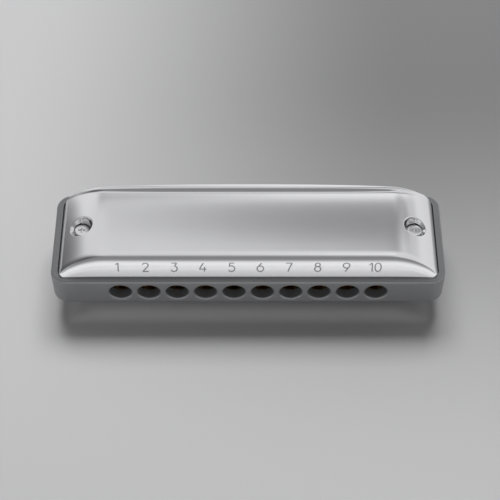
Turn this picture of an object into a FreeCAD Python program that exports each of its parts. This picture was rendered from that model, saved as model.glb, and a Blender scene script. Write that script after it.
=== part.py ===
"""Ten-hole diatonic harmonica, built as separate pieces in millimetres.

The player blows into the row of round holes on the front, which faces -Y. Hole 1 is at -X
and hole 10 at +X. +Z is up, and the origin is on the table under the middle of the
instrument. A pocketed metal comb carries a reed plate above and below its ten chambers,
and each plate is closed by a sheet metal cover that is open at the back.

Everything is drawn about the comb's mid plane and lifted onto the table when it is written.
"""
import FreeCAD
import Part

import math
import os

# Comb: a block with a shallow pocket on top and underneath
COMB_LENGTH = 104.0
COMB_DEPTH = 29.1
COMB_HEIGHT = 9.2
COMB_CORNER_RADIUS = 4.0
COMB_EDGE_RADIUS = 0.6
RIM_FRONT = 1.5
RIM_END = 1.8
PLATE_THICKNESS = 0.95
COVER_SEAT_DEPTH = 0.5
FRONT_WALL = 2.95

# Row of mouth holes and the chambers behind them, between the comb's two solid end blocks
END_BLOCK_TO_HOLE = 18.25
HOLE_PITCH = 7.5
HOLE_RADIUS = 2.95
HOLE_MOUTH_ROUNDING = 0.5
MOUTH_WALL_SHARE = 0.9
CHAMBER_WIDTH = 5.7
CHAMBER_END_ROOM = 1.5

# Reeds: a riveted root and a springing tongue over its slot
TONGUE_WIDTH = 2.3
TONGUE_THICKNESS = 0.25
TONGUE_BELLY = 0.08
BLOW_TONGUE_LONGEST = 15.6
BLOW_TONGUE_SHORTEST = 9.12
DRAW_TONGUE_LONGEST = 15.0
DRAW_TONGUE_SHORTEST = 8.7
ROOT_WIDTH = 2.9
ROOT_LENGTH = 3.2
ROOT_THICKNESS = 0.45
ROOT_FROM_CHAMBER = 0.4
DRAW_TIP_FROM_CHAMBER = 0.7
SLOT_SIDE_GAP = 0.06
SLOT_TIP_GAP = 0.15
HINGE_GAP = 0.03
BELLY_START_SHARE = 0.12
BELLY_END_SHARE = 0.6

# Rivets
RIVET_RADIUS = 0.6
RIVET_HEAD_RADIUS = 1.0
RIVET_HEAD_HEIGHT = 0.35
RIVET_TAIL_RADIUS = 0.85
RIVET_TAIL_HEIGHT = 0.2
RIVET_GAP = 0.02

# Covers: pressed sheet
SHEET = 0.5
COVER_RISE = 5.4
COVER_FRONT_GAP = 0.36
COVER_END_GAP = 0.4
COVER_FRONT_CORNER_RADIUS = 1.6
COVER_REAR_CORNER_RADIUS = 2.4
FRONT_SLOPE_DEG = 66.6
CREASE_RADIUS = 1.4
END_SLOPE_RUN = 11.8
END_EDGE_RISE = 0.35
COVER_REAR_INSET = 0.7
COVER_REAR_BOW = 2.0
REAR_CORNER_WALL = 3.4

# Turned-up lip along the back edge of each cover, highest in the middle and faded out at the ends
LIP_WIDTH = 1.7
LIP_RISE = 0.8
LIP_SINK = 0.02
LIP_PAST_SLOPE_START = 3.0
LIP_FADE_POWER = 1.6
LIP_STATION_SHARES = (0.0, 0.08, 0.25, 0.5, 0.7, 0.85, 1.0)
LIP_TURN_PAST_EDGE_SHARE = 1.1

# Screw cups pressed into the ends of the covers
CUP_FROM_END = 7.7
CUP_BACK_OFFSET = 0.6
CUP_RADIUS = 2.95
CUP_FLOOR_RISE = 1.5

# Cover screws and nuts
COVER_SCREW_RADIUS = 1.0
COVER_SCREW_HEAD_RADIUS = 1.95
COVER_SCREW_HEAD_HEIGHT = 1.2
COVER_SCREW_HEAD_ROUNDING = 0.5
COVER_SCREW_HOLE_GAP = 0.15
COVER_SCREW_END_PAST_NUT = 0.2
CROSS_WIDTH = 0.45
CROSS_LENGTH = 2.0
CROSS_DEPTH = 0.6
NUT_ACROSS_FLATS = 4.0
NUT_THICKNESS = 1.6
NUT_CHAMFER = 0.25
THREAD_GAP = 0.03

# Reed plate screws
PLATE_SCREW_RADIUS = 0.8
PLATE_SCREW_HEAD_RADIUS = 1.5
PLATE_SCREW_HEAD_HEIGHT = 0.75
PLATE_SCREW_HEAD_ROUNDING = 0.3
PLATE_SCREW_HOLE_GAP = 0.12
PLATE_SCREW_BESIDE_CHAMBERS = 3.9
PLATE_SCREW_FROM_FRONT = 5.55
PLATE_SCREW_FROM_BACK = 3.6
PLATE_CROSS_WIDTH = 0.35
PLATE_CROSS_LENGTH = 1.6
PLATE_CROSS_DEPTH = 0.4
MIDDLE_SCREW_PITCHES = 2.0

# Clearance, cutting allowance, and how near two places, directions or counts are taken as one
PLATE_POCKET_GAP = 0.1
CUT = 1.0
SAME_PLACE = 0.01
SAME_DIRECTION = 1e-6
SAME_COUNT_SHARE = 1e-3

HALF_LENGTH = COMB_LENGTH / 2
HALF_DEPTH = COMB_DEPTH / 2
RIM_Z = COMB_HEIGHT / 2
PLATE_OUTER_Z = RIM_Z - COVER_SEAT_DEPTH
PLATE_INNER_Z = PLATE_OUTER_Z - PLATE_THICKNESS
CHAMBER_FRONT_Y = FRONT_WALL - HALF_DEPTH
ROW_ROOM = COMB_LENGTH - 2 * END_BLOCK_TO_HOLE
HOLE_COUNT = 1 + int(ROW_ROOM / HOLE_PITCH + SAME_COUNT_SHARE)
ROW_HALF = HOLE_PITCH * (HOLE_COUNT - 1) / 2
CHAMBERS_END_X = ROW_HALF + CHAMBER_WIDTH / 2
MOUTH_WALL = min(HOLE_PITCH / 2, RIM_Z - COMB_EDGE_RADIUS) - HOLE_RADIUS
MOUTH_ROUNDING = min(HOLE_MOUTH_ROUNDING, MOUTH_WALL * MOUTH_WALL_SHARE)
BLOW_TONGUE_STEP = (BLOW_TONGUE_LONGEST - BLOW_TONGUE_SHORTEST) / (HOLE_COUNT - 1)
DRAW_TONGUE_STEP = (DRAW_TONGUE_LONGEST - DRAW_TONGUE_SHORTEST) / (HOLE_COUNT - 1)

COVER_HALF_LENGTH = HALF_LENGTH - RIM_END - COVER_END_GAP
COVER_FRONT_Y = RIM_FRONT + COVER_FRONT_GAP - HALF_DEPTH
COVER_REAR_Y = HALF_DEPTH - COVER_REAR_INSET
COVER_TOP_Z = RIM_Z + COVER_RISE
SLOPE_START_X = COVER_HALF_LENGTH - END_SLOPE_RUN
END_DROP = COVER_RISE - END_EDGE_RISE
END_ARC_RADIUS = (END_SLOPE_RUN ** 2 + END_DROP ** 2) / (2 * END_DROP)
END_ARC_CENTRE_Z = COVER_TOP_Z - END_ARC_RADIUS
REAR_ARC_RADIUS = (COVER_HALF_LENGTH ** 2 + COVER_REAR_BOW ** 2) / (2 * COVER_REAR_BOW)
LIP_START_Y = COVER_REAR_Y - LIP_WIDTH
LIP_END_X = SLOPE_START_X + LIP_PAST_SLOPE_START

CUP_X = HALF_LENGTH - CUP_FROM_END
CUP_FLOOR_Z = RIM_Z + CUP_FLOOR_RISE
NUT_FACE_Z = CUP_FLOOR_Z + NUT_THICKNESS
HALF_HEIGHT = COVER_TOP_Z + LIP_RISE


def vec(x, y, z):
    return FreeCAD.Vector(x, y, z)


X_AXIS = vec(1, 0, 0)
Y_AXIS = vec(0, 1, 0)
Z_AXIS = vec(0, 0, 1)
CENTRE = vec(0, 0, 0)


def box(low, high):
    return Part.makeBox(high.x - low.x, high.y - low.y, high.z - low.z, low)


def upright_cylinder(radius, x, y, low_z, high_z):
    return Part.makeCylinder(radius, high_z - low_z, vec(x, y, low_z), Z_AXIS)


def prism(wire, height):
    return Part.Face(wire).extrude(Z_AXIS * height)


def rounded_block(half_x, front_y, back_y, low_z, high_z, radius):
    """A block with its four upright corners rounded."""
    block = box(vec(-half_x, front_y, low_z), vec(half_x, back_y, high_z))
    return block.makeFillet(radius, upright_edges(block))


def upright_edges(shape):
    found = []
    for edge in shape.Edges:
        first, last = edge.Vertexes[0].Point, edge.Vertexes[-1].Point
        rise = last - first
        if abs(rise.z) > 0 and rise.cross(Z_AXIS).Length < abs(rise.z) * SAME_DIRECTION:
            found.append(edge)
    return found


def flipped(shape):
    """The same piece turned over for the underside: mirrored in the mid plane."""
    return shape.mirror(CENTRE, Z_AXIS)


def hole_x(index):
    return HOLE_PITCH * index - ROW_HALF


def blow_length(index):
    return BLOW_TONGUE_LONGEST - BLOW_TONGUE_STEP * index


def draw_length(index):
    return DRAW_TONGUE_LONGEST - DRAW_TONGUE_STEP * index


# Blow reeds are riveted at the front, draw reeds at the back
BLOW_ROOT_FRONT_Y = CHAMBER_FRONT_Y + ROOT_FROM_CHAMBER
BLOW_HINGE_Y = BLOW_ROOT_FRONT_Y + ROOT_LENGTH
DRAW_TIP_Y = CHAMBER_FRONT_Y + DRAW_TIP_FROM_CHAMBER


def chamber_back_y(index):
    return BLOW_HINGE_Y + blow_length(index) + CHAMBER_END_ROOM


def draw_hinge_y(index):
    return DRAW_TIP_Y + draw_length(index)


def cover_screw_places():
    return [(-CUP_X, CUP_BACK_OFFSET), (CUP_X, CUP_BACK_OFFSET)]


def plate_screw_places():
    end_x = CHAMBERS_END_X + PLATE_SCREW_BESIDE_CHAMBERS
    front_y = PLATE_SCREW_FROM_FRONT - HALF_DEPTH
    back_y = HALF_DEPTH - PLATE_SCREW_FROM_BACK
    middle_x = HOLE_PITCH * MIDDLE_SCREW_PITCHES
    corners = [(side * end_x, y) for side in (-1, 1) for y in (front_y, back_y)]
    return corners + [(-middle_x, back_y), (middle_x, back_y)]


def blow_rivet_places():
    y = BLOW_HINGE_Y - ROOT_LENGTH / 2
    return [(hole_x(index), y) for index in range(HOLE_COUNT)]


def draw_rivet_places():
    return [(hole_x(index), draw_hinge_y(index) + ROOT_LENGTH / 2) for index in range(HOLE_COUNT)]


def pocket(low_z, high_z, gap):
    """The plan of the comb's pocket, taken in by a gap on every side."""
    return rounded_block(HALF_LENGTH - RIM_END - gap, RIM_FRONT + gap - HALF_DEPTH,
                         HALF_DEPTH - RIM_FRONT - gap, low_z, high_z,
                         COMB_CORNER_RADIUS - RIM_FRONT)


def comb():
    body = rounded_block(HALF_LENGTH, -HALF_DEPTH, HALF_DEPTH, -RIM_Z, RIM_Z, COMB_CORNER_RADIUS)
    flat_edges = [edge for edge in body.Edges if edge.BoundBox.ZLength < COMB_EDGE_RADIUS / 2]
    body = body.makeFillet(COMB_EDGE_RADIUS, flat_edges)
    cuts = [pocket(PLATE_INNER_Z, RIM_Z + CUT, 0), pocket(-RIM_Z - CUT, -PLATE_INNER_Z, 0)]
    for index in range(HOLE_COUNT):
        x = hole_x(index)
        cuts.append(box(vec(x - CHAMBER_WIDTH / 2, CHAMBER_FRONT_Y, -RIM_Z),
                        vec(x + CHAMBER_WIDTH / 2, chamber_back_y(index), RIM_Z)))
        cuts.append(Part.makeCylinder(HOLE_RADIUS, FRONT_WALL + CUT, vec(x, -HALF_DEPTH - CUT, 0),
                                      Y_AXIS))
    for x, y in cover_screw_places():
        radius = COVER_SCREW_RADIUS + COVER_SCREW_HOLE_GAP
        cuts.append(upright_cylinder(radius, x, y, -RIM_Z, RIM_Z))
    for x, y in plate_screw_places():
        radius = PLATE_SCREW_RADIUS + PLATE_SCREW_HOLE_GAP
        cuts.append(upright_cylinder(radius, x, y, -RIM_Z, RIM_Z))
    body = body.cut(Part.makeCompound(cuts))
    body = body.Solids[0]
    return body.makeFillet(MOUTH_ROUNDING, mouth_edges(body))


def mouth_edges(body):
    """The round edges of the mouth holes on the comb's front face."""
    found = []
    for edge in body.Edges:
        bounds = edge.BoundBox
        on_face = abs(bounds.YMin + HALF_DEPTH) < SAME_PLACE and bounds.YLength < SAME_PLACE
        if on_face and abs(bounds.XLength - 2 * HOLE_RADIUS) < SAME_PLACE:
            found.append(edge)
    return found


def plate_blank():
    """A reed plate lying in the comb's upper pocket, before its slots are cut."""
    return pocket(PLATE_INNER_Z, PLATE_OUTER_Z, PLATE_POCKET_GAP)


def through_plate(radius, x, y):
    return upright_cylinder(radius, x, y, PLATE_INNER_Z - CUT, PLATE_OUTER_Z + CUT)


def slot(x, low_y, high_y):
    half = TONGUE_WIDTH / 2 + SLOT_SIDE_GAP
    return box(vec(x - half, low_y, PLATE_INNER_Z - CUT), vec(x + half, high_y, PLATE_OUTER_Z + CUT))


def upper_reed_plate():
    cuts = []
    for index in range(HOLE_COUNT):
        tip_y = BLOW_HINGE_Y + HINGE_GAP + blow_length(index)
        cuts.append(slot(hole_x(index), BLOW_HINGE_Y, tip_y + SLOT_TIP_GAP))
    cuts += [through_plate(RIVET_RADIUS + RIVET_GAP, x, y) for x, y in blow_rivet_places()]
    cuts += [through_plate(COVER_SCREW_RADIUS + COVER_SCREW_HOLE_GAP, x, y)
             for x, y in cover_screw_places()]
    cuts += [through_plate(PLATE_SCREW_RADIUS + PLATE_SCREW_HOLE_GAP, x, y)
             for x, y in plate_screw_places()]
    return plate_blank().cut(Part.makeCompound(cuts))


def lower_reed_plate():
    """Drawn as the upper one and turned over. The plate screws thread into it."""
    cuts = []
    for index in range(HOLE_COUNT):
        hinge_y = draw_hinge_y(index)
        tip_y = hinge_y - HINGE_GAP - draw_length(index)
        cuts.append(slot(hole_x(index), tip_y - SLOT_TIP_GAP, hinge_y))
    cuts += [through_plate(RIVET_RADIUS + RIVET_GAP, x, y) for x, y in draw_rivet_places()]
    cuts += [through_plate(COVER_SCREW_RADIUS + COVER_SCREW_HOLE_GAP, x, y)
             for x, y in cover_screw_places()]
    cuts += [through_plate(PLATE_SCREW_RADIUS + THREAD_GAP, x, y) for x, y in plate_screw_places()]
    return flipped(plate_blank().cut(Part.makeCompound(cuts)))


def tongue(x, hinge_y, length, towards, face_z, away):
    """A reed tongue: it starts beside its root and its back is filed hollow.

    towards is the way the tip points along Y, face_z the plate face that it lies on, and
    away the side of that face, along Z, that the tongue is on.
    """
    root_y = hinge_y + towards * HINGE_GAP
    back_z = face_z + away * TONGUE_THICKNESS
    belly_z = back_z - away * TONGUE_BELLY
    shares = ((0, face_z), (1, face_z), (1, back_z), (BELLY_END_SHARE, belly_z),
              (BELLY_START_SHARE, belly_z), (0, back_z))
    points = [vec(x - TONGUE_WIDTH / 2, root_y + towards * length * share, z) for share, z in shares]
    outline = Part.makePolygon(points + points[:1])
    return Part.Face(outline).extrude(X_AXIS * TONGUE_WIDTH)


def root(x, hinge_y, towards, face_z, away):
    """The riveted root of a reed, with a round back end."""
    half = ROOT_WIDTH / 2
    back_y = hinge_y - towards * ROOT_LENGTH
    turn_y = back_y + towards * half
    corners = [vec(x - half, hinge_y, face_z), vec(x + half, hinge_y, face_z),
               vec(x + half, turn_y, face_z), vec(x - half, turn_y, face_z)]
    edges = [Part.makeLine(corners[3], corners[0]), Part.makeLine(corners[0], corners[1]),
             Part.makeLine(corners[1], corners[2]),
             Part.Arc(corners[2], vec(x, back_y, face_z), corners[3]).toShape()]
    pad = Part.Face(Part.Wire(edges)).extrude(Z_AXIS * (away * ROOT_THICKNESS))
    hole_y = hinge_y - towards * ROOT_LENGTH / 2
    hole = upright_cylinder(RIVET_RADIUS + RIVET_GAP, x, hole_y, -RIM_Z - CUT, RIM_Z + CUT)
    return pad.cut(hole)


def rivet(x, y, head_face_z, tail_face_z, head_side):
    """A rivet whose head sits on the reed root and whose spread tail sits on the plate."""
    shank = upright_cylinder(RIVET_RADIUS, x, y, min(head_face_z, tail_face_z),
                             max(head_face_z, tail_face_z))
    head = Part.makeCone(RIVET_HEAD_RADIUS, RIVET_RADIUS, RIVET_HEAD_HEIGHT,
                         vec(x, y, head_face_z), Z_AXIS * head_side)
    tail = Part.makeCone(RIVET_TAIL_RADIUS, RIVET_RADIUS, RIVET_TAIL_HEIGHT,
                         vec(x, y, tail_face_z), Z_AXIS * -head_side)
    return shank.fuse([head, tail]).removeSplitter()


def blow_roots():
    return Part.makeCompound([root(hole_x(index), BLOW_HINGE_Y, 1, PLATE_INNER_Z, -1)
                              for index in range(HOLE_COUNT)])


def draw_roots():
    return Part.makeCompound([root(hole_x(index), draw_hinge_y(index), -1, -PLATE_OUTER_Z, -1)
                              for index in range(HOLE_COUNT)])


def blow_rivets():
    return Part.makeCompound([rivet(x, y, PLATE_INNER_Z - ROOT_THICKNESS, PLATE_OUTER_Z, -1)
                              for x, y in blow_rivet_places()])


def draw_rivets():
    return Part.makeCompound([rivet(x, y, -PLATE_OUTER_Z - ROOT_THICKNESS, -PLATE_INNER_Z, -1)
                              for x, y in draw_rivet_places()])


def rear_edge_y(x):
    """Back edge of the cover in plan, which bows back in the middle."""
    return COVER_REAR_Y - REAR_ARC_RADIUS + math.sqrt(REAR_ARC_RADIUS ** 2 - x ** 2)


def side_profile(inset):
    """The cover's front slope and level top, drawn across its depth and drawn out along X.

    inset is zero for the outer skin and the sheet's thickness for the inner one.
    """
    slope = math.radians(FRONT_SLOPE_DEG)
    slope_y = COVER_FRONT_Y + inset / math.sin(slope)
    low_z, top_z = END_ARC_CENTRE_Z, COVER_TOP_Z - inset
    back_y = COVER_REAR_Y + CUT
    half = SLOPE_START_X + END_ARC_RADIUS + CUT
    points = [vec(-half, slope_y + (low_z - RIM_Z) / math.tan(slope), low_z),
              vec(-half, slope_y + (top_z - RIM_Z) / math.tan(slope), top_z),
              vec(-half, back_y, top_z), vec(-half, back_y, low_z)]
    return Part.Face(Part.makePolygon(points + points[:1])).extrude(X_AXIS * (2 * half))


def end_profile(inset):
    """The cover's level top and its falling ends, drawn along its length and drawn out along Y."""
    radius = END_ARC_RADIUS - inset
    middle = radius * math.sqrt(0.5)
    front_y = -HALF_DEPTH - END_ARC_RADIUS

    def at(x, z):
        return vec(x, front_y, z)

    def end_arc(side, first, last):
        bulge = at(side * (SLOPE_START_X + middle), END_ARC_CENTRE_Z + middle)
        return Part.Arc(first, bulge, last).toShape()

    top_z = END_ARC_CENTRE_Z + radius
    foot_x = SLOPE_START_X + radius
    top_left, top_right = at(-SLOPE_START_X, top_z), at(SLOPE_START_X, top_z)
    foot_left, foot_right = at(-foot_x, END_ARC_CENTRE_Z), at(foot_x, END_ARC_CENTRE_Z)
    edges = [Part.makeLine(top_left, top_right), end_arc(1, top_right, foot_right),
             Part.makeLine(foot_right, foot_left), end_arc(-1, foot_left, top_left)]
    depth = HALF_DEPTH * 2 + END_ARC_RADIUS + CUT
    return Part.Face(Part.Wire(edges)).extrude(Y_AXIS * depth)


def crease_edges(body):
    """The edges where the front slope meets the top and the ends."""
    slope = math.radians(FRONT_SLOPE_DEG)
    outward = vec(0, -math.sin(slope), math.cos(slope))
    for face in body.Faces:
        if (face.normalAt(0, 0) - outward).Length < SAME_DIRECTION:
            return [edge for edge in face.Edges if edge.BoundBox.ZMax > 0]
    raise RuntimeError("the cover's front slope wasn't found")


def lip_section(x, inset):
    """What lies under the lip's hollow curve at one x. It starts just below the cover's top."""
    past = max(abs(x) - SLOPE_START_X, 0)
    start_z = END_ARC_CENTRE_Z + math.sqrt((END_ARC_RADIUS - inset) ** 2 - past ** 2) - LIP_SINK
    width = rear_edge_y(x) - LIP_START_Y
    rise = LIP_RISE * (1 - (abs(x) / LIP_END_X) ** LIP_FADE_POWER) + LIP_SINK
    radius = (width ** 2 + rise ** 2) / (2 * rise) + inset
    turn = math.asin(width / radius) * LIP_TURN_PAST_EDGE_SHARE

    def on_arc(share):
        angle = turn * share
        return vec(x, LIP_START_Y + radius * math.sin(angle),
                   start_z + radius * (1 - math.cos(angle)))

    tip = on_arc(1) + vec(0, math.cos(turn), math.sin(turn)) * SHEET
    foot_start, foot_end = vec(x, LIP_START_Y, start_z - SHEET), vec(x, tip.y, start_z - SHEET)
    edges = [Part.Arc(on_arc(0), on_arc(0.5), on_arc(1)).toShape(),
             Part.makeLine(on_arc(1), tip), Part.makeLine(tip, foot_end),
             Part.makeLine(foot_end, foot_start), Part.makeLine(foot_start, on_arc(0))]
    return Part.Wire(edges)


def lip_ridge(inset):
    """The lip in two halves that meet in the middle, so that its crest has one highest point."""
    halves = []
    for side in (-1, 1):
        stations = [side * LIP_END_X * share for share in LIP_STATION_SHARES]
        halves.append(Part.makeLoft([lip_section(x, inset) for x in stations], True, False))
    return halves[0].fuse(halves[1])


def under_skin(inset):
    """All that lies under the outer skin, or under the inner one."""
    body = side_profile(inset).common(end_profile(inset))
    body = body.makeFillet(CREASE_RADIUS - inset, crease_edges(body))
    return body.fuse(lip_ridge(inset))


def cover_plan(inset, low_z):
    """Upright prism of the cover's plan, with a bowed back edge and round corners."""
    half = COVER_HALF_LENGTH - inset
    front_y, end_y = COVER_FRONT_Y + inset, rear_edge_y(COVER_HALF_LENGTH) - inset
    front_left, front_right = vec(-half, front_y, low_z), vec(half, front_y, low_z)
    back_left, back_right = vec(-half, end_y, low_z), vec(half, end_y, low_z)
    back_middle = vec(0, COVER_REAR_Y - inset, low_z)
    edges = [Part.makeLine(front_left, front_right), Part.makeLine(front_right, back_right),
             Part.Arc(back_right, back_middle, back_left).toShape(),
             Part.makeLine(back_left, front_left)]
    block = prism(Part.Wire(edges), HALF_HEIGHT + CUT * 2)
    front = [edge for edge in upright_edges(block) if edge.CenterOfMass.y < 0]
    block = block.makeFillet(COVER_FRONT_CORNER_RADIUS - inset, front)
    back = [edge for edge in upright_edges(block) if abs(edge.CenterOfMass.y - end_y) < SAME_PLACE]
    return block.makeFillet(COVER_REAR_CORNER_RADIUS - inset, back)


def cover():
    """The upper cover, as seen with the instrument the right way up."""
    outer = under_skin(0).common(cover_plan(0, PLATE_OUTER_Z))
    back_opening = box(vec(REAR_CORNER_WALL - COVER_HALF_LENGTH, 0, 0),
                       vec(COVER_HALF_LENGTH - REAR_CORNER_WALL, COVER_REAR_Y + CUT, HALF_HEIGHT + CUT))
    hollow = under_skin(SHEET).common(cover_plan(SHEET, 0).fuse(back_opening))
    shell = outer.cut(hollow)
    for x, y in cover_screw_places():
        cup = upright_cylinder(CUP_RADIUS + SHEET, x, y, CUP_FLOOR_Z - SHEET, HALF_HEIGHT + CUT)
        shell = shell.fuse(cup.common(outer))
    for x, y in cover_screw_places():
        inside = upright_cylinder(CUP_RADIUS, x, y, CUP_FLOOR_Z, HALF_HEIGHT + CUT)
        hole = upright_cylinder(COVER_SCREW_RADIUS + COVER_SCREW_HOLE_GAP, x, y, 0, HALF_HEIGHT)
        shell = shell.cut(inside).cut(hole)
    return shell.removeSplitter().Solids[0]


def cross_recess(x, y, top_z, width, length, depth):
    """Two crossed slots for a cross-point screwdriver."""
    bars = []
    for half_x, half_y in ((length / 2, width / 2), (width / 2, length / 2)):
        bars.append(box(vec(x - half_x, y - half_y, top_z - depth),
                        vec(x + half_x, y + half_y, top_z + CUT)))
    return bars[0].fuse(bars[1])


def pan_screw(x, y, seat_z, end_z, shank_radius, head_radius, head_height, rounding, cross):
    """A pan-head screw that points down, seated on seat_z and ending at end_z."""
    head = upright_cylinder(head_radius, x, y, seat_z, seat_z + head_height)
    top_edge = [edge for edge in head.Edges
                if abs(edge.CenterOfMass.z - seat_z - head_height) < SAME_PLACE]
    head = head.makeFillet(rounding, top_edge)
    shank = upright_cylinder(shank_radius, x, y, end_z, seat_z)
    width, length, depth = cross
    recess = cross_recess(x, y, seat_z + head_height, width, length, depth)
    return head.fuse(shank).removeSplitter().cut(recess)


def cover_screw(side):
    x, y = cover_screw_places()[side]
    end_z = -NUT_FACE_Z - COVER_SCREW_END_PAST_NUT
    return pan_screw(x, y, CUP_FLOOR_Z, end_z, COVER_SCREW_RADIUS, COVER_SCREW_HEAD_RADIUS,
                     COVER_SCREW_HEAD_HEIGHT, COVER_SCREW_HEAD_ROUNDING,
                     (CROSS_WIDTH, CROSS_LENGTH, CROSS_DEPTH))


def cover_nut(side):
    """A hexagon nut in the lower cover's cup, with its corners turned off."""
    x, y = cover_screw_places()[side]
    corner = NUT_ACROSS_FLATS / math.sqrt(3)
    angles = [math.radians(60 * step) for step in range(6)]
    points = [vec(x + corner * math.cos(angle), y + corner * math.sin(angle), -NUT_FACE_Z)
              for angle in angles]
    nut = prism(Part.makePolygon(points + points[:1]), NUT_THICKNESS)
    turned = Part.makeCone(corner - NUT_CHAMFER, corner - NUT_CHAMFER + NUT_THICKNESS,
                           NUT_THICKNESS, vec(x, y, -NUT_FACE_Z), Z_AXIS)
    bore = upright_cylinder(COVER_SCREW_RADIUS + THREAD_GAP, x, y, -NUT_FACE_Z - CUT, 0)
    return nut.common(turned).cut(bore)


def plate_screws():
    screws = []
    for x, y in plate_screw_places():
        screws.append(pan_screw(x, y, PLATE_OUTER_Z, -PLATE_OUTER_Z, PLATE_SCREW_RADIUS,
                                PLATE_SCREW_HEAD_RADIUS, PLATE_SCREW_HEAD_HEIGHT,
                                PLATE_SCREW_HEAD_ROUNDING,
                                (PLATE_CROSS_WIDTH, PLATE_CROSS_LENGTH, PLATE_CROSS_DEPTH)))
    return Part.makeCompound(screws)


def pieces():
    """Every piece by its node name, about the comb's mid plane."""
    upper_cover = cover()
    made = {
        "comb": comb(),
        "upper_reed_plate": upper_reed_plate(),
        "lower_reed_plate": lower_reed_plate(),
        "upper_cover": upper_cover,
        "lower_cover": flipped(upper_cover),
        "cover_screw_left": cover_screw(0),
        "cover_screw_right": cover_screw(1),
        "cover_nut_left": cover_nut(0),
        "cover_nut_right": cover_nut(1),
        "reed_plate_screws": plate_screws(),
        "blow_reed_roots": blow_roots(),
        "draw_reed_roots": draw_roots(),
        "blow_reed_rivets": blow_rivets(),
        "draw_reed_rivets": draw_rivets(),
    }
    for index in range(HOLE_COUNT):
        x = hole_x(index)
        made[f"blow_reed_{index + 1:02d}"] = tongue(x, BLOW_HINGE_Y, blow_length(index), 1,
                                                    PLATE_INNER_Z, -1)
        made[f"draw_reed_{index + 1:02d}"] = tongue(x, draw_hinge_y(index), draw_length(index), -1,
                                                    -PLATE_OUTER_Z, -1)
    return made


def main():
    os.makedirs("parts", exist_ok=True)
    for name, shape in pieces().items():
        shape.translate(Z_AXIS * HALF_HEIGHT)
        bounds = shape.BoundBox
        shape.exportStep(f"parts/{name}.step")
        print(f"{name}: {len(shape.Solids)} solids, valid {shape.isValid()}, "
              f"volume {shape.Volume:.2f}, x {bounds.XMin:.2f}..{bounds.XMax:.2f}, "
              f"y {bounds.YMin:.2f}..{bounds.YMax:.2f}, z {bounds.ZMin:.2f}..{bounds.ZMax:.2f}")


main()
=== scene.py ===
"""The looks of a pocket harmonica: finishes, fine pieces, studio and camera."""
import math

import bmesh
import bpy
from bpy.props import FloatProperty, FloatVectorProperty, PointerProperty
from bpy.types import Operator, Panel, PropertyGroup
from mathutils import Euler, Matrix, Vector


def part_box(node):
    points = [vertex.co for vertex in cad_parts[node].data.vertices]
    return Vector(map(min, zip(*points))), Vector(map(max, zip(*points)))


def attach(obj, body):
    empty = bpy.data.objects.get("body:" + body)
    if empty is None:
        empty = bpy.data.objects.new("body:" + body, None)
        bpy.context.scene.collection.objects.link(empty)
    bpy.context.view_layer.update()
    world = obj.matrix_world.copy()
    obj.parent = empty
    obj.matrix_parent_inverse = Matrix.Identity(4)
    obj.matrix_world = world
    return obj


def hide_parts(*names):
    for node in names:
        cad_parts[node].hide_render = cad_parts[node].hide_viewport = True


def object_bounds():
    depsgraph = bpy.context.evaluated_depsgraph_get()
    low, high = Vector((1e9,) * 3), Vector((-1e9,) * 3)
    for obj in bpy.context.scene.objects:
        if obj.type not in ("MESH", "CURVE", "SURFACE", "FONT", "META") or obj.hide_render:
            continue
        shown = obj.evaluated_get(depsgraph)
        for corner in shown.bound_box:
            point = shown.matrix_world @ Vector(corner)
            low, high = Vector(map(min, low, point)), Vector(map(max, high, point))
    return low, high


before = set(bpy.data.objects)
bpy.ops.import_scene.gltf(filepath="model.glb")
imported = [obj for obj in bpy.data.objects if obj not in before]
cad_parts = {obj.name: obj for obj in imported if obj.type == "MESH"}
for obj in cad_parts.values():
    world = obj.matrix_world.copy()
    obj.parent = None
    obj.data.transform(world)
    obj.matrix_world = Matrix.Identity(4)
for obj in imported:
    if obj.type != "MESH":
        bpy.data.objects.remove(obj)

CAD_BOX = [list(corner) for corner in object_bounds()]

bl_info = {
    "name": "Pocket Harmonica Looks",
    "version": (1, 0, 0),
    "blender": (4, 5, 0),
    "location": "View3D > Sidebar > Harmonica",
    "description": "Dresses a pocket harmonica and sets its studio",
    "category": "Object",
}

MM = 0.001
BODY = "harmonica_body"
QUARTER_TURN = 90.0
HALF_TURN = 180.0
MIX_LOW, MIX_HIGH, MIX_COLOUR = 6, 7, 2

# Brightness of the studio by height, from 0 at the horizon to 1 overhead, behind the
# harmonica and before it, and the depth over which the two blend.
BEHIND = ((0.0, 0.78), (0.2, 0.84), (0.38, 0.86), (0.5, 0.79), (0.6, 0.77), (0.7, 0.79),
          (0.77, 0.81), (0.83, 0.72), (0.9, 0.42), (0.96, 0.29), (1.0, 0.27))
BEFORE = ((0.0, 1.0), (0.18, 1.0), (0.3, 0.6), (0.45, 0.3), (0.65, 0.27), (1.0, 0.27))
BLEND_DEPTH = 0.15
# Patches of the studio, each with the bearing and height of its middle, its reach to the
# sides, downwards and upwards, all in degrees, and the share of brightness in its middle.
PATCHES = ((20.0, 45.0, 34.0, 40.0, 30.0, 1.22), (14.0, 51.5, 27.0, 8.5, 11.5, 0.29),
           (31.0, 43.0, 18.0, 10.5, 8.5, 0.44), (42.0, 34.0, 13.0, 12.0, 12.0, 0.68),
           (-12.0, 42.0, 16.0, 9.0, 6.0, 0.6), (24.0, 72.0, 30.0, 8.0, 8.0, 1.22),
           (-78.0, 62.0, 38.0, 24.0, 28.0, 0.35), (-66.0, 0.0, 23.5, 40.0, 120.0, 0.12))
DIFFUSE_SHARE = 0.45
# Each lamp's name, place, size and power.
LAMPS = (("key", (0.0, 0.5, 0.76), (0.6, 0.36), 9.0),
         ("front", (0.0, -0.9, 0.25), (0.7, 0.3), 1.6))
SENSOR_WIDTH = 36.0
CLIP_START, CLIP_END = 0.01, 20.0

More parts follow.
